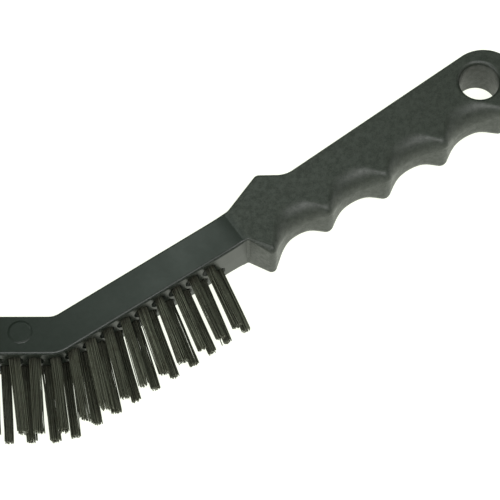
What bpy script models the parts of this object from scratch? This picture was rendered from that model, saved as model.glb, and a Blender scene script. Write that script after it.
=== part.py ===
"""Hand wire brush lying on its side.

A one-piece moulded plastic body (finger-grooved grip, guard, slim head with an upswept nose) carries
two staggered rows of steel wire tufts. Each tuft is a bundle of straight wires folded over a flat
steel anchor in a blind hole, as a staple-set brush is made.

The drawing frame has +X towards the handle end, +Y towards the back of the brush and Z across its
thickness, with x = 0 at the guard, y = 0 on the underside of the head and z = 0 on the middle plane.
An empty carries the drawing into the world, so that the lower side face of the grip lies on z = 0.
"""

import math

import bmesh
import bpy
from mathutils import Matrix, Vector

MM = 0.001
GAP = 0.3 * MM

# Body, seen from the side
HEAD_HEIGHT = 12.7 * MM
NOSE_HEIGHT = 13.8 * MM
NOSE_ANGLE = math.radians(34)
NOSE_BEND_X = -74.0 * MM
NOSE_LENGTH = 38.0 * MM
NOSE_TIP_RADIUS = 5.5 * MM
UNDERSIDE_BEND_RADIUS = 10.0 * MM
BACK_BEND_RADIUS = 6.0 * MM

GROOVE_PITCH = 23.3 * MM
GROOVE_COUNT = 4
GROOVE_RADIUS = 17.0 * MM
FIRST_RIDGE_X = 28.8 * MM
RIDGE_Y = -7.0 * MM
RIDGE_RADIUS = 3.0 * MM
RIDGE_RISE = 7.3 * MM
RIDGE_LINE_SLOPE = -0.022
SPUR_TIP = (4.4 * MM, -9.2 * MM)
SPUR_RADIUS = 1.8 * MM
HEEL_RADIUS = 1.0 * MM

HUMP_CREST = (15.6 * MM, 19.1 * MM)
HUMP_CREST_RADIUS = 2.4 * MM
HUMP_FOOT = (24.0 * MM, 13.43 * MM)
HUMP_FOOT_RADIUS = 9.0 * MM
HUMP_RAMP_RADIUS = 6.0 * MM
GRIP_BACK_SLOPE = 0.0545
HANDLE_END_X = 113.0 * MM
HANDLE_END_TOP_RADIUS = 12.5 * MM
HANDLE_END_LOW_RADIUS = 10.0 * MM

# Body, across its thickness
HEAD_THICKNESS = 16.8 * MM
GRIP_THICKNESS = 17.8 * MM
RAMP_START_X = -8.0 * MM
RAMP_END_X = -1.5 * MM
HEAD_RIM_RADIUS = 0.7 * MM
GRIP_BACK_RIM_RADIUS = 1.0 * MM
RIDGE_CROWN_RADIUS = 2.7 * MM
GROOVE_CROWN_RADIUS = 6.2 * MM
CROWN_FADE = 16.0 * MM
RIM_FADE = 9.0 * MM

HANG_HOLE = (98.9 * MM, 5.95 * MM)
HANG_HOLE_RADIUS = 6.9 * MM
HANG_HOLE_CHAMFER_WIDTH = 0.8 * MM
HANG_HOLE_CHAMFER_DEPTH = 1.1 * MM

# Tufts, spaced along the underside from the guard to the nose
TUFT_PITCH = 6.7 * MM
ROWS = (
    {"name": "near", "count": 14, "start": 15.2 * MM, "z": 3.2 * MM, "tip_radius": 1.85 * MM,
     "extra_length": 0.0, "strays": {10: 0.8, 11: 2.5, 12: -3.0}},
    {"name": "far", "count": 15, "start": 11.8 * MM, "z": -3.2 * MM, "tip_radius": 1.65 * MM,
     "extra_length": 0.5 * MM, "strays": {2: 2.0, 10: 1.5}},
)
TUFT_RADIUS = 1.5 * MM
TUFT_ROOT_DEPTH = 8.0 * MM
TUFT_ROOT_CHAMFER = 0.5 * MM
TUFT_LENGTH_AT_HEEL = 22.2 * MM
TUFT_LENGTH_GROWTH = 0.042
LEAN_AT_HEEL = math.radians(10.6)
LEAN_GROWTH_START = 24.0 * MM
LEAN_GROWTH = math.radians(0.278) / MM
HOLE_RADIUS = TUFT_RADIUS + GAP
HOLE_DEPTH = TUFT_ROOT_DEPTH + 0.4 * MM

ANCHOR_LENGTH = 5.0 * MM
ANCHOR_THICKNESS = 0.5 * MM
ANCHOR_HEIGHT = 2.0 * MM
ANCHOR_DEPTH = 6.8 * MM

# Where the drawing's own origin sits in the world: the middle of the grip's side face is the origin
GRIP_MIDDLE = (52.0 * MM, 6.0 * MM)

ARC_STEP = math.radians(15)
RIM_STEPS = 4
TUFT_SIDES = 12
HOLE_SIDES = 12
HANG_HOLE_SIDES = 32


def clear_scene():
    for obj in list(bpy.data.objects):
        bpy.data.objects.remove(obj, do_unlink=True)


def make_material(name, colour, roughness, metallic):
    material = bpy.data.materials.new(name)
    material.use_nodes = True
    shader = material.node_tree.nodes["Principled BSDF"]
    shader.inputs["Base Color"].default_value = (*colour, 1.0)
    shader.inputs["Roughness"].default_value = roughness
    shader.inputs["Metallic"].default_value = metallic
    return material


def make_object(name, mesh, parent, material=None):
    if material:
        mesh.materials.append(material)
    obj = bpy.data.objects.new(name, mesh)
    bpy.context.scene.collection.objects.link(obj)
    obj.parent = parent
    return obj


def mesh_from(bm, name, sharp_angle=math.radians(35)):
    bmesh.ops.recalc_face_normals(bm, faces=bm.faces)
    mesh = bpy.data.meshes.new(name)
    bm.to_mesh(mesh)
    bm.free()
    mesh.shade_smooth()
    mesh.set_sharp_from_angle(angle=sharp_angle)
    return mesh


def hide_cutter(cutter):
    cutter.hide_render = True
    cutter.display_type = "WIRE"


def cut(obj, cutter):
    modifier = obj.modifiers.new("cut_" + cutter.name, "BOOLEAN")
    modifier.operation = "DIFFERENCE"
    modifier.object = cutter


def rounded_chain(corners):
    """Points and outward normals along a chain of (x, y, radius) corners of an anticlockwise outline.

    The first and the last corner are sharp ends; every corner between them becomes a tangent arc.
    """
    points = []
    places = [Vector(corner[:2]) for corner in corners]
    for before, here, after, corner in zip(places, places[1:], places[2:], corners[1:]):
        inward = (here - before).normalized()
        outward = (after - here).normalized()
        turn = outward.angle_signed(inward)
        side = -1.0 if turn > 0 else 1.0
        reach = corner[2] * math.tan(abs(turn) / 2)
        start = here - inward * reach
        normal = Vector((inward.y, -inward.x))
        centre = start + normal * (corner[2] * side)
        steps = max(2, math.ceil(abs(turn) / ARC_STEP))
        for step in range(steps + 1):
            spun = Matrix.Rotation(turn * step / steps, 2) @ normal
            points.append((centre - spun * (corner[2] * side), spun))
    first = (places[1] - places[0]).normalized()
    last = (places[-1] - places[-2]).normalized()
    points.insert(0, (places[0], Vector((first.y, -first.x))))
    points.append((places[-1], Vector((last.y, -last.x))))
    return points


def head_chain():
    """From the back of the head beside the guard, round the nose, to the underside beside the guard."""
    along = Vector((-math.cos(NOSE_ANGLE), math.sin(NOSE_ANGLE)))
    across = Vector((math.sin(NOSE_ANGLE), math.cos(NOSE_ANGLE)))
    low_bend = Vector((NOSE_BEND_X, 0))
    low_tip = low_bend + along * NOSE_LENGTH
    high_tip = low_tip + across * NOSE_HEIGHT
    climb = (high_tip.y - HEAD_HEIGHT) / along.y
    high_bend = high_tip - along * climb
    return rounded_chain([
        (RAMP_START_X, HEAD_HEIGHT),
        (*high_bend, BACK_BEND_RADIUS),
        (*high_tip, NOSE_TIP_RADIUS),
        (*low_tip, NOSE_TIP_RADIUS),
        (*low_bend, UNDERSIDE_BEND_RADIUS),
        (RAMP_START_X, 0),
    ])


def grip_chain():
    """From the underside at the guard, along the finger grooves, round the end and back over the hump."""
    corners = [(RAMP_END_X, 0), (0, 0, HEEL_RADIUS), (*SPUR_TIP, SPUR_RADIUS)]
    for groove in range(GROOVE_COUNT):
        ridge_x = FIRST_RIDGE_X + GROOVE_PITCH * groove
        ridge_y = RIDGE_Y + RIDGE_LINE_SLOPE * (ridge_x - FIRST_RIDGE_X)
        radius = GROOVE_RADIUS if groove else GROOVE_RADIUS - 2 * MM
        corners.append((ridge_x - GROOVE_PITCH / 2, ridge_y + RIDGE_RISE, radius))
        corners.append((ridge_x, ridge_y, RIDGE_RADIUS))
    end_top = HUMP_FOOT[1] + GRIP_BACK_SLOPE * (HANDLE_END_X - HUMP_FOOT[0])
    corners += [
        (HANDLE_END_X, ridge_y, HANDLE_END_LOW_RADIUS),
        (HANDLE_END_X, end_top, HANDLE_END_TOP_RADIUS),
        (*HUMP_FOOT, HUMP_FOOT_RADIUS),
        (*HUMP_CREST, HUMP_CREST_RADIUS),
        (0, HEAD_HEIGHT, HUMP_RAMP_RADIUS),
        (RAMP_END_X, HEAD_HEIGHT),
    ]
    return rounded_chain(corners)


def share_between(start, end, value):
    """0 at start, 1 at end, eased at both."""
    share = min(1.0, max(0.0, (value - start) / (end - start)))
    return share * share * (3 - 2 * share)


def crown_radius(x):
    """How far the finger side is rounded over: a little on each ridge, and most in the middle of a groove."""
    last_ridge_x = FIRST_RIDGE_X + GROOVE_PITCH * (GROOVE_COUNT - 1)
    phase = math.pi * (min(x, last_ridge_x) - FIRST_RIDGE_X) / GROOVE_PITCH
    return RIDGE_CROWN_RADIUS + (GROOVE_CROWN_RADIUS - RIDGE_CROWN_RADIUS) * math.sin(phase) ** 2


def rim(point, normal, half_thickness):
    """(how far and which way an outline point moves in at a side face, the height over which it does so).

    The head and the back of the grip have round rims. The finger side of the grip is crowned instead.
    """
    if half_thickness < GRIP_THICKNESS / 2:
        return -normal * HEAD_RIM_RADIUS, HEAD_RIM_RADIUS
    growth = share_between(0, RIM_FADE, point.x) * (GRIP_BACK_RIM_RADIUS - HEAD_RIM_RADIUS)
    radius = HEAD_RIM_RADIUS + growth
    crown = share_between(0, CROWN_FADE, point.x) * share_between(0, 0.7, -normal.y)
    inward = (-normal).lerp(Vector((0, 1)), crown).normalized()
    radius += (crown_radius(point.x) - radius) * crown
    return inward * radius, radius


def body_mesh():
    """The head and grip as one stack of outlines, drawn in towards each side face to round its rim."""
    bm = bmesh.new()
    grip = [(p, n, GRIP_THICKNESS / 2) for p, n in grip_chain()]
    head = [(p, n, HEAD_THICKNESS / 2) for p, n in head_chain()]
    outline = grip + head
    layers = []
    for side in (-1, 1):
        angles = [math.pi / 2 * step / RIM_STEPS for step in range(RIM_STEPS + 1)]
        for angle in sorted(angles, reverse=side < 0):
            layer = []
            for point, normal, half in outline:
                inset, reach = rim(point, normal, half)
                flat = point + inset * (1 - math.cos(angle))
                z = side * (half - reach * (1 - math.sin(angle)))
                layer.append(bm.verts.new((*flat, z)))
            layers.append(layer)
    count = len(outline)
    for low, high in zip(layers, layers[1:]):
        for i in range(count):
            j = (i + 1) % count
            bm.faces.new((low[i], low[j], high[j], high[i]))
    for layer in (layers[0], layers[-1]):
        bm.faces.new(layer[: len(grip)])
        bm.faces.new(layer[len(grip):])
        bm.faces.new((layer[len(grip) - 1], layer[len(grip)], layer[-1], layer[0]))
    return mesh_from(bm, "brush_body")


def hang_hole_cutter(parent):
    """A straight bore with a chamfer that opens past each side face."""
    inner = GRIP_THICKNESS / 2 - HANG_HOLE_CHAMFER_DEPTH
    outer = GRIP_THICKNESS / 2 + HANG_HOLE_CHAMFER_DEPTH
    flare = HANG_HOLE_RADIUS + 2 * HANG_HOLE_CHAMFER_WIDTH
    profile = [(flare, -outer), (HANG_HOLE_RADIUS, -inner), (HANG_HOLE_RADIUS, inner), (flare, outer)]
    bm = bmesh.new()
    rings = []
    for radius, z in profile:
        ring = []
        for i in range(HANG_HOLE_SIDES):
            turn = 2 * math.pi * i / HANG_HOLE_SIDES
            x = HANG_HOLE[0] + radius * math.cos(turn)
            y = HANG_HOLE[1] + radius * math.sin(turn)
            ring.append(bm.verts.new((x, y, z)))
        rings.append(ring)
    for low, high in zip(rings, rings[1:]):
        for i in range(HANG_HOLE_SIDES):
            j = (i + 1) % HANG_HOLE_SIDES
            bm.faces.new((low[i], low[j], high[j], high[i]))
    bm.faces.new(rings[0])
    bm.faces.new(rings[-1])
    cutter = make_object("hang_hole_cutter", mesh_from(bm, "hang_hole_cutter"), parent)
    hide_cutter(cutter)
    return cutter


def underside_point(distance):
    """The place on the underside at this distance from the guard, straight and then up the nose."""
    straight = -NOSE_BEND_X
    if distance <= straight:
        return Vector((-distance, 0))
    beyond = distance - straight
    return Vector((NOSE_BEND_X - beyond * math.cos(NOSE_ANGLE), beyond * math.sin(NOSE_ANGLE)))


def tuft_frame(distance, z, stray):
    """Local +Z runs out along the wires, local X lies across the thickness, the origin is the hole's mouth."""
    root = underside_point(distance)
    lean = LEAN_AT_HEEL + LEAN_GROWTH * max(0, distance - LEAN_GROWTH_START) + math.radians(stray)
    outward = Vector((-math.sin(lean), -math.cos(lean), 0))
    across = Vector((0, 0, 1))
    frame = Matrix((across, outward.cross(across), outward)).transposed().to_4x4()
    frame.translation = (root.x, root.y, z)
    return frame


def tuft_places():
    """Every tuft as (name, frame, free length, tip radius), row by row."""
    for row in ROWS:
        for number in range(1, row["count"] + 1):
            distance = row["start"] + TUFT_PITCH * (number - 1)
            length = TUFT_LENGTH_AT_HEEL + TUFT_LENGTH_GROWTH * distance + row["extra_length"]
            frame = tuft_frame(distance, row["z"], row["strays"].get(number, 0.0))
            yield f"{row['name']}_tuft_{number:02d}", frame, length, row["tip_radius"]


def add_box(bm, size, centre, frame=Matrix()):
    matrix = frame @ Matrix.Translation(centre) @ Matrix.Diagonal((*size, 1))
    bmesh.ops.create_cube(bm, size=1, matrix=matrix)


def cut_tuft_holes(body, parent):
    """Blind round holes, each with the groove that its anchor bites into the wall on the way down."""
    holes = bmesh.new()
    grooves = bmesh.new()
    mouth = 4 * MM
    hole_centre = Matrix.Translation((0, 0, (mouth - HOLE_DEPTH) / 2))
    groove_depth = ANCHOR_DEPTH + GAP
    groove_size = (ANCHOR_LENGTH + 2 * GAP, ANCHOR_THICKNESS + 2 * GAP, mouth + groove_depth)
    groove_centre = (0, 0, (mouth - groove_depth) / 2)
    for _, frame, _, _ in tuft_places():
        bmesh.ops.create_cone(
            holes, cap_ends=True, segments=HOLE_SIDES, radius1=HOLE_RADIUS, radius2=HOLE_RADIUS,
            depth=mouth + HOLE_DEPTH, matrix=frame @ hole_centre)
        add_box(grooves, groove_size, groove_centre, frame)
    for name, bm in (("tuft_hole_cutter", holes), ("anchor_groove_cutter", grooves)):
        cutter = make_object(name, mesh_from(bm, name), parent)
        hide_cutter(cutter)
        cut(body, cutter)


def tuft_mesh():
    """A bundle of wires with the opening its anchor passes through; its tip ring sits at local z = 0."""
    bm = bmesh.new()
    profile = [
        (TUFT_RADIUS - TUFT_ROOT_CHAMFER, -TUFT_ROOT_DEPTH),
        (TUFT_RADIUS, TUFT_ROOT_CHAMFER - TUFT_ROOT_DEPTH),
        (TUFT_RADIUS, -2 * GAP),
        (TUFT_RADIUS, 0),
    ]
    rings = []
    for radius, z in profile:
        turns = [2 * math.pi * (i + 0.5) / TUFT_SIDES for i in range(TUFT_SIDES)]
        rings.append([bm.verts.new((radius * math.cos(t), radius * math.sin(t), z)) for t in turns])
    for low, high in zip(rings, rings[1:]):
        for i in range(TUFT_SIDES):
            j = (i + 1) % TUFT_SIDES
            bm.faces.new((low[i], low[j], high[j], high[i]))
    bm.faces.new(rings[0])
    bm.faces.new(rings[-1])
    bundle = make_object("bundle_template", mesh_from(bm, "bundle_template"), None)
    opening = bmesh.new()
    size = (4 * TUFT_RADIUS, ANCHOR_THICKNESS + 2 * GAP, ANCHOR_HEIGHT + 2 * GAP)
    add_box(opening, size, (0, 0, ANCHOR_HEIGHT / 2 - ANCHOR_DEPTH))
    cutter = make_object("anchor_opening", mesh_from(opening, "anchor_opening"), None)
    cut(bundle, cutter)
    bpy.context.view_layer.update()
    cut_bundle = bundle.evaluated_get(bpy.context.evaluated_depsgraph_get())
    mesh = bpy.data.meshes.new_from_object(cut_bundle)
    for helper in (bundle, cutter):
        bpy.data.objects.remove(helper, do_unlink=True)
    return mesh


def make_tufts(parent, wire, anchor_steel):
    template = tuft_mesh()
    anchor = bmesh.new()
    size = (ANCHOR_LENGTH, ANCHOR_THICKNESS, ANCHOR_HEIGHT)
    add_box(anchor, size, (0, 0, ANCHOR_HEIGHT / 2 - ANCHOR_DEPTH))
    anchor_mesh = mesh_from(anchor, "anchor")
    anchor_mesh.materials.append(anchor_steel)
    for name, frame, length, tip_radius in tuft_places():
        flare = tip_radius / TUFT_RADIUS
        mesh = template.copy()
        mesh.name = name
        for vertex in mesh.vertices:
            if vertex.co.z > -GAP:
                vertex.co = (vertex.co.x * flare, vertex.co.y * flare, length)
        tuft = make_object(name, mesh, parent, wire)
        tuft.matrix_local = frame
        holder = make_object(name.replace("tuft", "anchor"), anchor_mesh, parent)
        holder.matrix_local = frame


def main():
    clear_scene()
    plastic = make_material("charcoal_plastic", (0.025, 0.03, 0.026), 0.42, 0.0)
    wire = make_material("dull_steel_wire", (0.2, 0.19, 0.155), 0.45, 1.0)
    anchor_steel = make_material("zinc_plated_strip", (0.5, 0.5, 0.48), 0.4, 1.0)
    drawing = bpy.data.objects.new("drawing", None)
    bpy.context.scene.collection.objects.link(drawing)
    drawing.location = (-GRIP_MIDDLE[0], -GRIP_MIDDLE[1], GRIP_THICKNESS / 2)
    body = make_object("brush_body", body_mesh(), drawing, plastic)
    cut_tuft_holes(body, drawing)
    cut(body, hang_hole_cutter(drawing))
    make_tufts(drawing, wire, anchor_steel)


main()
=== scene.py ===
"""The look of the hand wire brush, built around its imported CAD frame.

The moulded body is rebuilt from the part's own outline with finer rims, crowned finger grooves,
dished tuft holes, draft and a parting line. Every tuft is rebuilt as its real strands: wires
folded over the anchor in the tuft's hole. The anchors keep their CAD shape.
"""

import math
import random

import bmesh
import bpy
import numpy as np
from mathutils import Matrix, Vector


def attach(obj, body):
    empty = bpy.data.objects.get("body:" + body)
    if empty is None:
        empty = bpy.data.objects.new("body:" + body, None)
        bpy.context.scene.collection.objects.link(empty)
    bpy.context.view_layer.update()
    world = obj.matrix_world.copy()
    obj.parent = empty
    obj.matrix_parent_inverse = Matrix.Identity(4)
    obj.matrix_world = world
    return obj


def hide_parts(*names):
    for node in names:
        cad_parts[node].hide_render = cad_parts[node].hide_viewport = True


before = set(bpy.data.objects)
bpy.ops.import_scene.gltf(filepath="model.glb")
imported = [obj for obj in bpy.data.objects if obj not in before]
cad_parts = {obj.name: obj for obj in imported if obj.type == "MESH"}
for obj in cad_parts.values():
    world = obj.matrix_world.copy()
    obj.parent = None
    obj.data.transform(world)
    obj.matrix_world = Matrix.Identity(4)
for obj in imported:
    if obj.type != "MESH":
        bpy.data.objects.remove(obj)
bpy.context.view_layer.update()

MM = 0.001
RANDOM_SEED = 7

# Camera: looks down on the brush from the bristle side, turned so that the handle climbs right
CAMERA_TARGET = Vector((-51.3, -5.9, 8.9)) * MM
CAMERA_DISTANCE = 926 * MM
CAMERA_LENS = 200
CAMERA_SENSOR = 36
CAMERA_TILT = math.radians(26.5)
CAMERA_TURN = math.radians(34.1)

# Softboxes: name, direction from the origin, distance, (width, height), power, colour
WHITE = (1, 1, 1)
SOFTBOXES = (
    ("overhead_softbox", (-0.18, -0.48, 1.0), 1.1, (0.9, 0.6), 8.3, WHITE),
    ("nose_end_softbox", (-1.0, 0.1, 0.35), 1.1, (0.8, 0.6), 5.0, WHITE),
    ("handle_end_softbox", (0.87, -0.45, 0.22), 1.1, (0.7, 0.4), 1.2, WHITE),
    ("head_softbox", (0.055, 0.205, 0.42), 0.47, (0.10, 0.10), 0.135, (0.88, 1.0, 0.92)),
)

# Studio walls: (Z of the direction, colour) at the dark horizon and at the pale top
HORIZON = (0.45, (0.06, 0.07, 0.06, 1))
CEILING = (0.92, (0.35, 0.405, 0.352, 1))

# Floor: a pale, glowing sheet just clear of the brush
FLOOR_HALF_SIZE = 1.5
FLOOR_DROP = 0.05 * MM
FLOOR_COLOUR = (0.3, 0.3, 0.3, 1)
FLOOR_GLOW = (0.96, 1.0, 0.87, 1)

# The part's drawing frame: x = 0 at the guard, y = 0 on the head's underside, z = 0 midway
HEAD_HEIGHT = 12.7 * MM
NOSE_HEIGHT = 13.8 * MM
NOSE_ANGLE = math.radians(34)
NOSE_BEND_X = -74.0 * MM
NOSE_LENGTH = 37.95 * MM
NOSE_TIP_RADIUS = 5.5 * MM
UNDERSIDE_BEND_RADIUS = 10.0 * MM
BACK_BEND_RADIUS = 6.0 * MM
GROOVE_PITCH = 23.3 * MM
GROOVE_COUNT = 4
GROOVE_RADIUS = 17.0 * MM
FIRST_GROOVE_RADIUS = GROOVE_RADIUS - 2 * MM
FIRST_RIDGE_X = 28.8 * MM
RIDGE_Y = -7.0 * MM
RIDGE_RADIUS = 3.0 * MM
RIDGE_RISE = 7.3 * MM
RIDGE_LINE_SLOPE = -0.022
SPUR_TIP = (4.4 * MM, -9.2 * MM)
SPUR_RADIUS = 1.8 * MM
HEEL_RADIUS = 1.0 * MM
HUMP_CREST = (15.6 * MM, 18.9 * MM)
HUMP_CREST_RADIUS = 2.4 * MM
HUMP_FOOT = (24.0 * MM, 13.43 * MM)
HUMP_FOOT_RADIUS = 9.0 * MM
HUMP_RAMP_RADIUS = 6.0 * MM
GRIP_BACK_SLOPE = 0.0545
HANDLE_END_X = 113.0 * MM
HANDLE_END_TOP_RADIUS = 12.5 * MM
HANDLE_END_LOW_RADIUS = 10.0 * MM
HEAD_THICKNESS = 16.8 * MM
GRIP_THICKNESS = 17.8 * MM
RAMP_START_X = -8.0 * MM
RAMP_END_X = -1.5 * MM
GRIP_MIDDLE = (52.0 * MM, 6.0 * MM)

# Rims along the side faces. A *_FACING says how squarely the wall must face the finger side.
HEAD_RIM_RADIUS = 0.7 * MM
HEAD_LIP_RADIUS = 1.0 * MM
HEAD_LIP_FACING = 0.5
GRIP_BACK_RIM_RADIUS = 1.0 * MM
RIM_FADE = 9.0 * MM
RIDGE_CROWN_RADIUS = 3.4 * MM
GROOVE_CROWN_RADIUS = 6.8 * MM
CROWN_PLATEAU_POWER = 6
CROWN_FADE = 16.0 * MM
CROWN_FACING = 0.7
SPUR_RIM_GROWTH = 1.6 * MM
SPUR_RIM_FACING = 0.4

# Moulding detail that the CAD leaves out
DRAFT = math.tan(math.radians(0.3))
PARTING_HALF_WIDTH = 0.2 * MM
PARTING_STEP = 0.03 * MM
PIN_MARK = (-80.3 * MM, 13.9 * MM)
PIN_MARK_RADIUS = 3.8 * MM
PIN_MARK_HEIGHT = 0.18 * MM
PIN_MARK_FOOT = 0.3 * MM
PIN_MARK_SHOULDER = 0.45 * MM
PIN_MARK_SHOULDER_RISE = 0.55
PIN_MARK_SIDES = 64

# Hang hole
HANG_HOLE = (98.9 * MM, 5.95 * MM)
HANG_HOLE_RADIUS = 6.8 * MM
HANG_HOLE_RIM_RADIUS = 1.4 * MM
HANG_HOLE_RIM_DEGREES = (0, 15, 30, 45, 60, 72)
HANG_HOLE_SIDES = 96

# How finely the body is built
ARC_STEP = math.radians(4)
RIM_STEPS = 8
LAST_RIM_ANGLE = math.radians(87)
RAMP_STEPS = 8
# How much of the grip's extra thickness the ramp takes up
RAMP_SWELL_SHARE = 0.999
BLANK_SHARP_ANGLE = math.radians(35)
BODY_SHARP_ANGLE = math.radians(32)
LEVEL_NORMAL_Z = 0.99999
LARGE_FACE_WEIGHT = 100

# Tuft holes and anchor pockets
TUFT_ROOT_DEPTH = 8.0 * MM
HOLE_RADIUS = 1.9 * MM
HOLE_DEPTH = 8.5 * MM
HOLE_DISH_RADIUS = 3.1 * MM
HOLE_DISH_DEPTH = 1.1 * MM
HOLE_DISH_MIDDLE_RADIUS = 0.4 * HOLE_RADIUS + 0.6 * HOLE_DISH_RADIUS
HOLE_DISH_MIDDLE_DEPTH = 0.3 * HOLE_DISH_DEPTH
HOLE_DISH_LIP = 0.2 * MM
HOLE_CUTTER_TOP = 3 * MM
HOLE_SIDES = 28
POCKET_CLEARANCE = 0.1 * MM
TIP_BAND = 1 * MM

# Wires
ANCHOR_BOTTOM = 6.8 * MM
WIRE_RADIUS = 0.18 * MM
WIRE_SIDES = 6
WIRE_SHARP_ANGLE = math.radians(62)
STRAND_SEEDS = 48
GOLDEN_HALF_TURNS = 3 - math.sqrt(5)  # the golden angle
BUNDLE_RADIUS = 1.58 * MM
NOSE_BUNDLE_SPREAD = 0.16
NOSE_SPREAD_TUFTS = (6, 9)
LAST_SPREAD_TUFT = 12
LOOSE_WIRE_SHARE = 0.04
LOOSE_WIRE_REACH = 0.7 * MM
FOOT_JITTER = 0.12 * MM
TIP_JITTER = 0.18 * MM
TIP_CLEARANCE = 0.06 * MM
TIP_STAGGER = 0.4 * MM
TIP_SLANT = 0.15
WIRE_BOW = 0.12 * MM
LEG_SHARES = (0.85, 0.65, 0.45, 0.22)
PINCH_DEPTH = 4.2 * MM
LEAST_FOLD_RADIUS = 0.45 * MM
FOLD_RADIUS_SHARE = 0.8
FOLD_DEGREES = (45, 90, 135)

# Colours
SATIN_DARK = (0.0050, 0.0092, 0.0056, 1)
SATIN_LIGHT = (0.0080, 0.0125, 0.0087, 1)
MATT_DARK = (0.0125, 0.0172, 0.0118, 1)
MATT_LIGHT = (0.0305, 0.0362, 0.0292, 1)
GRAIN_COLOUR = (0.044, 0.049, 0.037, 1)
SCUFF_COLOUR = (0.05, 0.055, 0.048, 1)
WIRE_DARK = (0.085, 0.088, 0.066, 1)
WIRE_LIGHT = (0.21, 0.215, 0.165, 1)
WIRE_STAIN = (0.07, 0.06, 0.04, 1)
WIRE_CUT_END = (0.27, 0.27, 0.22, 1)
ZINC_DARK = (0.42, 0.42, 0.41, 1)
ZINC_LIGHT = (0.62, 0.63, 0.62, 1)

drawing = Matrix.Translation((-GRIP_MIDDLE[0], -GRIP_MIDDLE[1], GRIP_THICKNESS / 2))
rng = random.Random(RANDOM_SEED)


# ---- camera, light and floor

def make_camera():
    away = Vector((math.sin(CAMERA_TURN), math.cos(CAMERA_TURN), 0))
    right = Vector((math.cos(CAMERA_TURN), -math.sin(CAMERA_TURN), 0))
    back = Vector((0, 0, math.cos(CAMERA_TILT))) - away * math.sin(CAMERA_TILT)
    data = bpy.data.cameras.new("camera")
    data.lens = CAMERA_LENS
    data.sensor_width = CAMERA_SENSOR
    camera = bpy.data.objects.new("camera", data)
    bpy.context.scene.collection.objects.link(camera)
    turn = Matrix((right, back.cross(right), back)).transposed().to_4x4()
    turn.translation = CAMERA_TARGET + back * CAMERA_DISTANCE
    camera.matrix_world = turn
    bpy.context.scene.camera = camera


def area_light(name, direction, distance, size, power, colour):
    """A rectangular softbox in this direction from the origin, facing it."""
    data = bpy.data.lights.new(name, "AREA")
    data.shape = "RECTANGLE"
    data.size, data.size_y = size
    data.energy = power
    data.color = colour
    light = bpy.data.objects.new(name, data)
    bpy.context.scene.collection.objects.link(light)
    place = Vector(direction).normalized() * distance
    turn = (-place).to_track_quat("-Z", "Y").to_matrix().to_4x4()
    light.matrix_world = Matrix.Translation(place) @ turn


def make_world():
    world = bpy.data.worlds.new("studio")
    bpy.context.scene.world = world
    world.use_nodes = True
    nodes, links = world.node_tree.nodes, world.node_tree.links
    coords = nodes.new("ShaderNodeTexCoord")
    split = nodes.new("ShaderNodeSeparateXYZ")
    ramp = nodes.new("ShaderNodeValToRGB")
    links.new(coords.outputs["Generated"], split.inputs[0])
    links.new(split.outputs["Z"], ramp.inputs[0])
    for element, (position, colour) in zip(ramp.color_ramp.elements, (HORIZON, CEILING)):
        element.position = position
        element.color = colour
    links.new(ramp.outputs[0], nodes["Background"].inputs["Color"])
    nodes["Background"].inputs["Strength"].default_value = 1.0


def make_floor():
    mesh = bpy.data.meshes.new("floor")
    size, drop = FLOOR_HALF_SIZE, -FLOOR_DROP
    corners = [(-size, -size, drop), (size, -size, drop), (size, size, drop), (-size, size, drop)]
    mesh.from_pydata(corners, [], [(0, 1, 2, 3)])
    floor = bpy.data.objects.new("floor", mesh)
    bpy.context.scene.collection.objects.link(floor)
    material = bpy.data.materials.new("pale_floor")
    material.use_nodes = True
    shader = material.node_tree.nodes["Principled BSDF"]
    shader.inputs["Base Color"].default_value = FLOOR_COLOUR
    shader.inputs["Roughness"].default_value = 0.8
    shader.inputs["Specular IOR Level"].default_value = 0.2
    shader.inputs["Emission Color"].default_value = FLOOR_GLOW
    shader.inputs["Emission Strength"].default_value = 1.0
    mesh.materials.append(material)


# ---- materials

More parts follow.
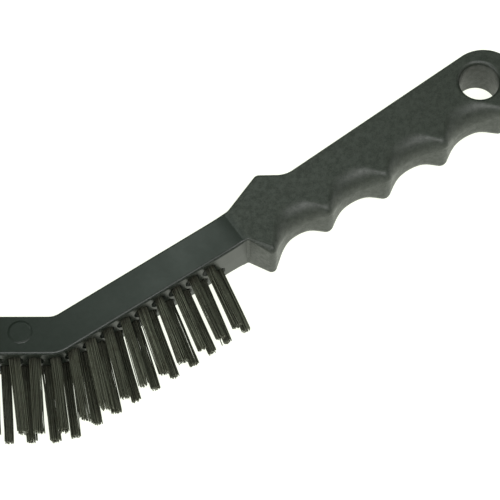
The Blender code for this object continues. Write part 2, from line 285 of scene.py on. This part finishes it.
class Nodes:
    """Short calls for building one material's node tree."""

    def __init__(self, name):
        self.material = bpy.data.materials.new(name)
        self.material.use_nodes = True
        self.tree = self.material.node_tree
        self.shader = self.tree.nodes["Principled BSDF"]

    def add(self, kind, inputs=(), **settings):
        node = self.tree.nodes.new("ShaderNode" + kind)
        for key, value in settings.items():
            setattr(node, key, value)
        for key, value in dict(inputs).items():
            self.feed(node.inputs[key], value)
        return node

    def feed(self, socket, value):
        if isinstance(value, bpy.types.NodeSocket):
            self.tree.links.new(value, socket)
        else:
            socket.default_value = value

    def place(self):
        return self.add("TexCoord").outputs["Object"]

    def attribute(self, name):
        return self.add("Attribute", attribute_name=name).outputs["Fac"]

    def noise(self, scale, detail, roughness, stretch=None):
        vector = self.place()
        if stretch:
            vector = self.add("Mapping", {"Vector": vector, "Scale": stretch}).outputs[0]
        inputs = {"Vector": vector, "Scale": scale, "Detail": detail, "Roughness": roughness}
        return self.add("TexNoise", inputs).outputs["Fac"]

    def spread(self, value, low, high, to_low=0.0, to_high=1.0):
        names = ("Value", "From Min", "From Max", "To Min", "To Max")
        inputs = dict(zip(names, (value, low, high, to_low, to_high)))
        return self.add("MapRange", inputs).outputs[0]

    def multiply(self, a, b):
        node = self.add("Math", operation="MULTIPLY")
        self.feed(node.inputs[0], a)
        self.feed(node.inputs[1], b)
        return node.outputs[0]

    def mix(self, factor, a, b):
        """Two colours mixed; a colour mix node keeps its colour sockets at 6 and 7."""
        node = self.add("Mix", data_type="RGBA")
        self.feed(node.inputs[0], factor)
        self.feed(node.inputs[6], a)
        self.feed(node.inputs[7], b)
        return node.outputs[2]

    def blend(self, factor, a, b):
        """Two numbers mixed."""
        node = self.add("Mix", data_type="FLOAT")
        self.feed(node.inputs[0], factor)
        self.feed(node.inputs[2], a)
        self.feed(node.inputs[3], b)
        return node.outputs[0]

    def bump(self, height, distance, normal=None):
        inputs = {"Height": height, "Distance": distance, "Strength": 1.0}
        if normal:
            inputs["Normal"] = normal
        return self.add("Bump", inputs).outputs[0]

    def finish(self, **inputs):
        for key, value in inputs.items():
            self.feed(self.shader.inputs[key.replace("_", " ")], value)
        return self.material


def plastic_material():
    """Satin on the head and matt, finely grained on the grip, with scuffed edges."""
    n = Nodes("charcoal_plastic")
    along = n.add("SeparateXYZ", {0: n.place()}).outputs[0]
    guard = -GRIP_MIDDLE[0]
    grip = n.spread(along, guard - 2.0 * MM, guard + 1.0 * MM)
    mottle = n.spread(n.noise(scale=600, detail=4, roughness=0.6), 0.38, 0.62)
    satin_colour = n.mix(mottle, SATIN_DARK, SATIN_LIGHT)
    matt_colour = n.mix(mottle, MATT_DARK, MATT_LIGHT)
    colour = n.mix(grip, satin_colour, matt_colour)
    grain = n.noise(scale=2400, detail=3, roughness=0.55)
    grain_share = n.multiply(grip, n.spread(grain, 0.35, 0.7, 0.0, 0.55))
    colour = n.mix(grain_share, colour, GRAIN_COLOUR)
    scratches = n.spread(n.noise(scale=700, detail=6, roughness=0.7), 0.4, 0.75)
    scuff = n.multiply(n.attribute("edge"), scratches)
    colour = n.mix(n.multiply(scuff, 0.5), colour, SCUFF_COLOUR)
    cloud = n.noise(scale=90, detail=4, roughness=0.6)
    satin_roughness = n.spread(cloud, 0.3, 0.7, 0.28, 0.35)
    matt_roughness = n.spread(mottle, 0.0, 1.0, 0.48, 0.40)
    roughness = n.blend(grip, satin_roughness, matt_roughness)
    roughness = n.blend(scuff, roughness, 0.6)
    ripple = n.bump(n.noise(scale=55, detail=2, roughness=0.4), 0.02 * MM)
    fine = n.bump(n.noise(scale=1500, detail=4, roughness=0.6), 0.004 * MM, ripple)
    rough_skin = n.bump(n.multiply(grain, grip), 0.05 * MM, fine)
    return n.finish(Base_Color=colour, Roughness=roughness, Normal=rough_skin)


def wire_material():
    """Dull drawn steel that differs from wire to wire, with stains and bright cut ends."""
    n = Nodes("dull_steel_wire")
    colour = n.mix(n.attribute("tone"), WIRE_DARK, WIRE_LIGHT)
    stain = n.spread(n.noise(scale=420, detail=5, roughness=0.65), 0.5, 0.72)
    colour = n.mix(n.multiply(stain, 0.6), colour, WIRE_STAIN)
    cut_end = n.spread(n.attribute("along"), 0.985, 1.0)
    colour = n.mix(cut_end, colour, WIRE_CUT_END)
    drawn = n.noise(scale=5200, detail=3, roughness=0.6, stretch=(1, 0.05, 1))
    roughness = n.spread(drawn, 0.3, 0.7, 0.36, 0.55)
    return n.finish(Base_Color=colour, Metallic=0.85, Roughness=roughness,
                    Normal=n.bump(drawn, 0.008 * MM))


def strip_material():
    """Zinc plating with a fine spangle."""
    n = Nodes("zinc_plated_strip")
    spangle = n.add("TexVoronoi", {"Vector": n.place(), "Scale": 900.0}).outputs["Distance"]
    colour = n.mix(spangle, ZINC_DARK, ZINC_LIGHT)
    worn = n.noise(scale=1800, detail=4, roughness=0.6)
    roughness = n.spread(worn, 0.3, 0.7, 0.3, 0.5)
    return n.finish(Base_Color=colour, Metallic=1.0, Roughness=roughness,
                    Normal=n.bump(spangle, 0.01 * MM))


# ---- body

def rounded_chain(corners):
    """(point, outward normal) pairs along (x, y, radius) corners, anticlockwise.

    The two end corners have no radius.
    """
    points = []
    places = [Vector(corner[:2]) for corner in corners]
    for before, here, after, corner in zip(places, places[1:], places[2:], corners[1:]):
        inward = (here - before).normalized()
        outward = (after - here).normalized()
        turn = outward.angle_signed(inward)
        side = -1.0 if turn > 0 else 1.0
        start = here - inward * (corner[2] * math.tan(abs(turn) / 2))
        normal = Vector((inward.y, -inward.x))
        centre = start + normal * (corner[2] * side)
        steps = max(3, math.ceil(abs(turn) / ARC_STEP))
        for step in range(steps + 1):
            spun = Matrix.Rotation(turn * step / steps, 2) @ normal
            points.append((centre - spun * (corner[2] * side), spun))
    first = (places[1] - places[0]).normalized()
    last = (places[-1] - places[-2]).normalized()
    points.insert(0, (places[0], Vector((first.y, -first.x))))
    points.append((places[-1], Vector((last.y, -last.x))))
    return points


def head_chain():
    along = Vector((-math.cos(NOSE_ANGLE), math.sin(NOSE_ANGLE)))
    across = Vector((math.sin(NOSE_ANGLE), math.cos(NOSE_ANGLE)))
    low_bend = Vector((NOSE_BEND_X, 0))
    low_tip = low_bend + along * NOSE_LENGTH
    high_tip = low_tip + across * NOSE_HEIGHT
    high_bend = high_tip - along * ((high_tip.y - HEAD_HEIGHT) / along.y)
    return rounded_chain([
        (RAMP_START_X, HEAD_HEIGHT),
        (*high_bend, BACK_BEND_RADIUS),
        (*high_tip, NOSE_TIP_RADIUS),
        (*low_tip, NOSE_TIP_RADIUS),
        (*low_bend, UNDERSIDE_BEND_RADIUS),
        (RAMP_START_X, 0),
    ])


def grip_chain():
    corners = [(RAMP_END_X, 0), (0, 0, HEEL_RADIUS), (*SPUR_TIP, SPUR_RADIUS)]
    for groove in range(GROOVE_COUNT):
        ridge_x = FIRST_RIDGE_X + GROOVE_PITCH * groove
        ridge_y = RIDGE_Y + RIDGE_LINE_SLOPE * (ridge_x - FIRST_RIDGE_X)
        radius = GROOVE_RADIUS if groove else FIRST_GROOVE_RADIUS
        corners.append((ridge_x - GROOVE_PITCH / 2, ridge_y + RIDGE_RISE, radius))
        corners.append((ridge_x, ridge_y, RIDGE_RADIUS))
    end_top = HUMP_FOOT[1] + GRIP_BACK_SLOPE * (HANDLE_END_X - HUMP_FOOT[0])
    corners += [
        (HANDLE_END_X, ridge_y, HANDLE_END_LOW_RADIUS),
        (HANDLE_END_X, end_top, HANDLE_END_TOP_RADIUS),
        (*HUMP_FOOT, HUMP_FOOT_RADIUS),
        (*HUMP_CREST, HUMP_CREST_RADIUS),
        (0, HEAD_HEIGHT, HUMP_RAMP_RADIUS),
        (RAMP_END_X, HEAD_HEIGHT),
    ]
    return rounded_chain(corners)


def share_between(start, end, value):
    """0 at the start, 1 at the end, and smooth in between."""
    share = min(1.0, max(0.0, (value - start) / (end - start)))
    return share * share * (3 - 2 * share)


def crown_radius(x):
    """How far the finger side is rounded over: less on each ridge, and more along a groove."""
    last_ridge_x = FIRST_RIDGE_X + GROOVE_PITCH * (GROOVE_COUNT - 1)
    phase = math.pi * (min(x, last_ridge_x) - FIRST_RIDGE_X) / GROOVE_PITCH
    depth = 1 - math.cos(phase) ** CROWN_PLATEAU_POWER
    return RIDGE_CROWN_RADIUS + (GROOVE_CROWN_RADIUS - RIDGE_CROWN_RADIUS) * depth


def rim(point, normal, half_thickness):
    """How an outline point moves in at a side face, and the height over which it does so."""
    if half_thickness < GRIP_THICKNESS / 2:
        radius = HEAD_LIP_RADIUS if normal.y < -HEAD_LIP_FACING else HEAD_RIM_RADIUS
        return -normal * radius, radius
    growth = share_between(0, RIM_FADE, point.x) * (GRIP_BACK_RIM_RADIUS - HEAD_RIM_RADIUS)
    radius = HEAD_RIM_RADIUS + growth
    crown = share_between(0, CROWN_FADE, point.x) * share_between(0, CROWN_FACING, -normal.y)
    inward = (-normal).lerp(Vector((0, 1)), crown).normalized()
    radius += (crown_radius(point.x) - radius) * crown
    at_spur = share_between(0, SPUR_TIP[0], point.x)
    spur_rim = SPUR_RIM_GROWTH * at_spur * share_between(0, SPUR_RIM_FACING, -normal.y)
    radius = max(radius, HEAD_RIM_RADIUS + spur_rim)
    return inward * radius, radius


def body_outline():
    """The outline as (point, normal, half thickness), and the grip's and head's point counts."""
    grip = [(p, n, GRIP_THICKNESS / 2) for p, n in grip_chain()]
    head = [(p, n, HEAD_THICKNESS / 2) for p, n in head_chain()]
    swell = (GRIP_THICKNESS - HEAD_THICKNESS) / 2
    back, low = [], []
    for step in range(1, RAMP_STEPS):
        share = step / RAMP_STEPS
        x = RAMP_END_X + (RAMP_START_X - RAMP_END_X) * share
        half = HEAD_THICKNESS / 2 + swell * (1 - share) ** 2 * RAMP_SWELL_SHARE
        back.append((Vector((x, HEAD_HEIGHT)), Vector((0, 1)), half))
        low.append((Vector((x, 0)), Vector((0, -1)), half))
    return grip + back + head + low[::-1], len(grip), len(head)


def body_shell():
    """The outline stacked across the thickness, with rims and a fine parting step midway."""
    outline, grip_count, head_count = body_outline()
    bm = bmesh.new()
    edge = bm.verts.layers.float.new("edge")
    angles = [math.pi / 2 * step / RIM_STEPS for step in range(RIM_STEPS + 1)]
    angles.insert(RIM_STEPS, LAST_RIM_ANGLE)
    levels = [(-1, angle) for angle in reversed(angles)]
    levels += [(0, -PARTING_HALF_WIDTH), (0, 0.0), (0, PARTING_HALF_WIDTH)]
    levels += [(1, angle) for angle in angles]
    layers = []
    for side, value in levels:
        layer = []
        for point, normal, half in outline:
            inset, reach = rim(point, normal, half)
            if side:
                z = side * (half - reach * (1 - math.sin(value)))
                flat = point + inset * (1 - math.cos(value)) - normal * (DRAFT * abs(z))
                wear = math.sin(2 * value)
            else:
                z = value
                flat = point - normal * (PARTING_STEP if value else 0.0)
                wear = 0.0
            vert = bm.verts.new((*flat, z))
            vert[edge] = wear
            layer.append(vert)
        layers.append(layer)
    count = len(outline)
    for low, high in zip(layers, layers[1:]):
        for i in range(count):
            j = (i + 1) % count
            bm.faces.new((low[i], low[j], high[j], high[i]))
    head_start = grip_count + RAMP_STEPS - 1
    head_end = head_start + head_count
    for layer in (layers[0], layers[-1]):
        bm.faces.new(layer[:grip_count])
        bm.faces.new(layer[head_start:head_end])
        back = layer[grip_count - 1:head_start + 1]
        low = [layer[0]] + layer[:head_end - 2:-1]
        for i in range(RAMP_STEPS):
            bm.faces.new((back[i], back[i + 1], low[i + 1], low[i]))
    return bm


def finish_mesh(bm, name):
    bmesh.ops.recalc_face_normals(bm, faces=bm.faces)
    mesh = bpy.data.meshes.new(name)
    bm.to_mesh(mesh)
    bm.free()
    mesh.shade_smooth()
    mesh.set_sharp_from_angle(angle=BLANK_SHARP_ANGLE)
    return mesh


def add_object(name, mesh):
    obj = bpy.data.objects.new(name, mesh)
    bpy.context.scene.collection.objects.link(obj)
    return obj


def lathe(bm, profile, place, sides):
    """A closed turned solid round this place's Z; the profile is (radius, z) from the bottom."""
    rings = []
    turns = [2 * math.pi * i / sides for i in range(sides)]
    for radius, z in profile:
        spots = [Vector((radius * math.cos(t), radius * math.sin(t), z)) for t in turns]
        rings.append([bm.verts.new(place @ spot) for spot in spots])
    for low, high in zip(rings, rings[1:]):
        for i in range(sides):
            j = (i + 1) % sides
            bm.faces.new((low[i], low[j], high[j], high[i]))
    bm.faces.new(rings[0])
    bm.faces.new(rings[-1])


def hang_hole_cutter():
    """A pin that flares at both side faces, to leave a rounded rim."""
    bm = bmesh.new()
    inner = GRIP_THICKNESS / 2 - HANG_HOLE_RIM_RADIUS
    half = []
    for degrees in HANG_HOLE_RIM_DEGREES:
        angle = math.radians(degrees)
        half.append((HANG_HOLE_RADIUS + HANG_HOLE_RIM_RADIUS * (1 - math.cos(angle)),
                     inner + HANG_HOLE_RIM_RADIUS * math.sin(angle)))
    radius, z = half[-1]
    half.append((radius + HANG_HOLE_RIM_RADIUS, z + HANG_HOLE_RIM_RADIUS / math.tan(angle)))
    profile = [(radius, -z) for radius, z in reversed(half)] + half
    lathe(bm, profile, Matrix.Translation((*HANG_HOLE, 0)), HANG_HOLE_SIDES)
    return bm


def pin_mark():
    """A faint raised disc with a sloping wall, left on a side face by the mould's ejector pin."""
    bm = bmesh.new()
    face = HEAD_THICKNESS / 2
    foot = PIN_MARK_RADIUS + PIN_MARK_FOOT
    profile = [
        (foot, face - PIN_MARK_FOOT),
        (foot, face),
        (PIN_MARK_RADIUS, face + PIN_MARK_SHOULDER_RISE * PIN_MARK_HEIGHT),
        (PIN_MARK_RADIUS - PIN_MARK_SHOULDER, face + PIN_MARK_HEIGHT),
    ]
    lathe(bm, profile, Matrix.Translation((*PIN_MARK, 0)), PIN_MARK_SIDES)
    return bm


def tuft_axes():
    """Each tuft's frame, free length and tip radius, measured on its CAD node.

    The frame's origin is at the hole's mouth, and its Z points out along the wires.
    """
    axes = {}
    for name, node in sorted(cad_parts.items()):
        if "_tuft_" not in name:
            continue
        points = np.array([v.co for v in node.data.vertices], float)
        middle = points.mean(0)
        direction = np.linalg.svd(points - middle, full_matrices=False)[2][0]
        direction = direction if direction[1] < 0 else -direction
        reach = (points - middle) @ direction
        outward = Vector(direction)
        across = Vector((0, 0, 1))
        turn = Matrix((across, outward.cross(across), outward)).transposed().to_4x4()
        turn.translation = Vector(middle) + outward * (reach.min() + TUFT_ROOT_DEPTH)
        tip = (points - middle)[reach > reach.max() - TIP_BAND]
        off_axis = tip - np.outer(tip @ direction, direction)
        tip_radius = np.linalg.norm(off_axis, axis=1).max()
        axes[name] = (turn, reach.max() - reach.min() - TUFT_ROOT_DEPTH, tip_radius)
    return axes


def tuft_hole_cutters(axes):
    """One mesh of dished tuft holes, and one of the pockets that the anchors sit in."""
    holes, pockets = bmesh.new(), bmesh.new()
    profile = [
        (HOLE_RADIUS, -HOLE_DEPTH),
        (HOLE_RADIUS, -HOLE_DISH_DEPTH),
        (HOLE_DISH_MIDDLE_RADIUS, -HOLE_DISH_MIDDLE_DEPTH),
        (HOLE_DISH_RADIUS, HOLE_DISH_LIP),
        (HOLE_DISH_RADIUS, HOLE_CUTTER_TOP),
    ]
    for turn, _, _ in axes.values():
        lathe(holes, profile, turn, HOLE_SIDES)
    for name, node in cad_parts.items():
        if "_anchor_" not in name:
            continue
        points = np.array([v.co for v in node.data.vertices], float)
        turn = axes[name.replace("anchor", "tuft")][0]
        local = turn.inverted()
        spots = np.array([local @ Vector(p) for p in points])
        low, high = spots.min(0), spots.max(0)
        size = high - low + POCKET_CLEARANCE
        box = turn @ Matrix.Translation((low + high) / 2) @ Matrix.Diagonal((*size, 1))
        bmesh.ops.create_cube(pockets, size=1, matrix=box)
    return holes, pockets


def isolate_flat_faces(mesh):
    """Marks the borders of the level side faces sharp, so that they shade as true flats."""
    bm = bmesh.new()
    bm.from_mesh(mesh)
    level = {face for face in bm.faces if abs(face.normal.z) > LEVEL_NORMAL_Z}
    for edge in bm.edges:
        if len(set(edge.link_faces) & level) == 1:
            edge.smooth = False
    bm.to_mesh(mesh)
    bm.free()


def make_body(axes, plastic):
    shell = body_shell()
    bmesh.ops.transform(shell, matrix=drawing, verts=shell.verts)
    body = add_object("moulded_body_blank", finish_mesh(shell, "moulded_body_blank"))
    holes, pockets = tuft_hole_cutters(axes)
    shapes = [("tuft_holes", holes, "DIFFERENCE"), ("anchor_pockets", pockets, "DIFFERENCE")]
    drawn_shapes = [
        ("hang_hole", hang_hole_cutter(), "DIFFERENCE"),
        ("pin_mark", pin_mark(), "UNION"),
    ]
    for name, bm, operation in drawn_shapes:
        bmesh.ops.transform(bm, matrix=drawing, verts=bm.verts)
        shapes.append((name, bm, operation))
    helpers = [body]
    for name, bm, operation in shapes:
        helper = add_object(name, finish_mesh(bm, name))
        modifier = body.modifiers.new(name, "BOOLEAN")
        modifier.operation = operation
        modifier.object = helper
        helpers.append(helper)
    bpy.context.view_layer.update()
    graph = bpy.context.evaluated_depsgraph_get()
    mesh = bpy.data.meshes.new_from_object(body.evaluated_get(graph))
    mesh.name = "moulded_body"
    for helper in helpers:
        bpy.data.objects.remove(helper, do_unlink=True)
    mesh.materials.clear()
    mesh.materials.append(plastic)
    mesh.shade_smooth()
    mesh.set_sharp_from_angle(angle=BODY_SHARP_ANGLE)
    isolate_flat_faces(mesh)
    moulded = add_object("moulded_body", mesh)
    weighted = moulded.modifiers.new("flat_faces_first", "WEIGHTED_NORMAL")
    weighted.keep_sharp = True
    weighted.weight = LARGE_FACE_WEIGHT
    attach(moulded, "root")
    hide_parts("brush_body")


# ---- tufts

def strand_seats(bundle_radius):
    """Where strands enter the hole on one side of the anchor; each comes back up on the other."""
    seats = []
    for k in range(STRAND_SEEDS):
        radius = bundle_radius * math.sqrt((k + 0.5) / STRAND_SEEDS)
        angle = k * math.pi * GOLDEN_HALF_TURNS
        x, y = radius * math.cos(angle), radius * math.sin(angle)
        if y > 0:
            seats.append((x, y))
    return seats


def strand_path(seat, length, slant, flare, limit, loose_reach):
    """One strand in its tuft's frame: in from a tip, under the anchor, out to the other tip."""
    x, y = seat
    fold_radius = max(LEAST_FOLD_RADIUS, y * FOLD_RADIUS_SHARE)
    legs = []
    for side in (1, -1):
        foot = Vector((x + rng.gauss(0, FOOT_JITTER), side * y + rng.gauss(0, FOOT_JITTER), 0))
        loose = rng.random() < LOOSE_WIRE_SHARE
        stray = LOOSE_WIRE_REACH if loose else TIP_JITTER
        tip_x = foot.x * flare + rng.gauss(0, stray)
        tip_y = foot.y * flare + rng.gauss(0, stray)
        tip = Vector((tip_x, tip_y, 0))
        tip *= min(1, (limit + loose_reach * loose) / tip.length)
        stagger = abs(rng.gauss(0, TIP_STAGGER))
        tip.z = length - TIP_CLEARANCE - stagger - abs(slant) * limit + slant * tip.y
        bow = Vector((rng.gauss(0, WIRE_BOW), rng.gauss(0, WIRE_BOW), 0))
        leg = [tip]
        for share in LEG_SHARES:
            leg.append(foot.lerp(tip, share) + bow * (4 * share * (1 - share)))
        leg.append(foot)
        leg.append(Vector((x, side * fold_radius, -PINCH_DEPTH)))
        leg.append(Vector((x, side * fold_radius, -ANCHOR_BOTTOM)))
        legs.append(leg)
    fold = []
    for degrees in FOLD_DEGREES:
        turn = math.radians(degrees)
        depth = ANCHOR_BOTTOM + fold_radius * math.sin(turn)
        fold.append(Vector((x, fold_radius * math.cos(turn), -depth)))
    return legs[0] + fold + legs[1][::-1]


def sweep(paths):
    """Vertices and faces of closed tubes along these paths."""
    spots = np.array(paths)
    tangent = np.gradient(spots, axis=1)
    tangent /= np.linalg.norm(tangent, axis=2, keepdims=True)
    reference = np.array((1.0, 0, 0))
    side = reference - tangent * (tangent @ reference)[..., None]
    side /= np.linalg.norm(side, axis=2, keepdims=True)
    other = np.cross(tangent, side)
    strands, rings = spots.shape[:2]
    turns = (np.arange(WIRE_SIDES) * 2 * math.pi / WIRE_SIDES)[:, None]
    offset = side[:, :, None] * np.cos(turns) + other[:, :, None] * np.sin(turns)
    verts = (spots[:, :, None] + offset * WIRE_RADIUS).reshape(-1, 3)
    faces = []
    for strand in range(strands):
        base = strand * rings * WIRE_SIDES
        for ring in range(rings - 1):
            here, after = base + ring * WIRE_SIDES, base + (ring + 1) * WIRE_SIDES
            for i in range(WIRE_SIDES):
                j = (i + 1) % WIRE_SIDES
                faces.append((here + i, here + j, after + j, after + i))
        faces.append(tuple(base + i for i in reversed(range(WIRE_SIDES))))
        last = base + (rings - 1) * WIRE_SIDES
        faces.append(tuple(last + i for i in range(WIRE_SIDES)))
    return verts, faces


def make_tuft(name, turn, length, tip_radius, steel):
    """The wires of one tuft.

    The tufts under the nose are wider, but for the last ones, which stay inside the CAD's box.
    """
    slant = rng.gauss(0, TIP_SLANT)
    number = int(name[-2:])
    outermost = number > LAST_SPREAD_TUFT
    nose_share = share_between(*NOSE_SPREAD_TUFTS, number)
    widening = 1 if outermost else 1 + NOSE_BUNDLE_SPREAD * nose_share
    limit = (tip_radius - WIRE_RADIUS) * widening
    loose_reach = 0 if outermost else LOOSE_WIRE_REACH
    seats = strand_seats(BUNDLE_RADIUS * widening)
    flare = limit / (BUNDLE_RADIUS * widening)
    paths = [strand_path(seat, length, slant, flare, limit, loose_reach) for seat in seats]
    verts, faces = sweep(paths)
    local = np.array(turn)
    verts = verts @ local[:3, :3].T + local[:3, 3]
    mesh = bpy.data.meshes.new(name + "_wires")
    mesh.from_pydata(verts.tolist(), [], faces)
    rings = len(paths[0])
    tones = np.repeat([rng.random() for _ in paths], rings * WIRE_SIDES)
    depth = np.array([[point.z for point in path] for path in paths]) / length
    along = np.repeat(depth.reshape(-1), WIRE_SIDES)
    for attribute, values in (("tone", tones), ("along", along)):
        layer = mesh.attributes.new(attribute, "FLOAT", "POINT")
        layer.data.foreach_set("value", values.astype(np.float32))
    mesh.shade_smooth()
    mesh.set_sharp_from_angle(angle=WIRE_SHARP_ANGLE)
    mesh.materials.append(steel)
    tuft = add_object(name + "_wires", mesh)
    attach(tuft, "root")
    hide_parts(name)


def main():
    make_camera()
    make_world()
    make_floor()
    for softbox in SOFTBOXES:
        area_light(*softbox)
    bpy.context.scene.view_settings.view_transform = "Standard"
    axes = tuft_axes()
    make_body(axes, plastic_material())
    steel = wire_material()
    for name, (turn, length, tip_radius) in axes.items():
        make_tuft(name, turn, length, tip_radius, steel)
    strip = strip_material()
    for name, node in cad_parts.items():
        if "_anchor_" in name:
            node.data.materials.clear()
            node.data.materials.append(strip)


main()
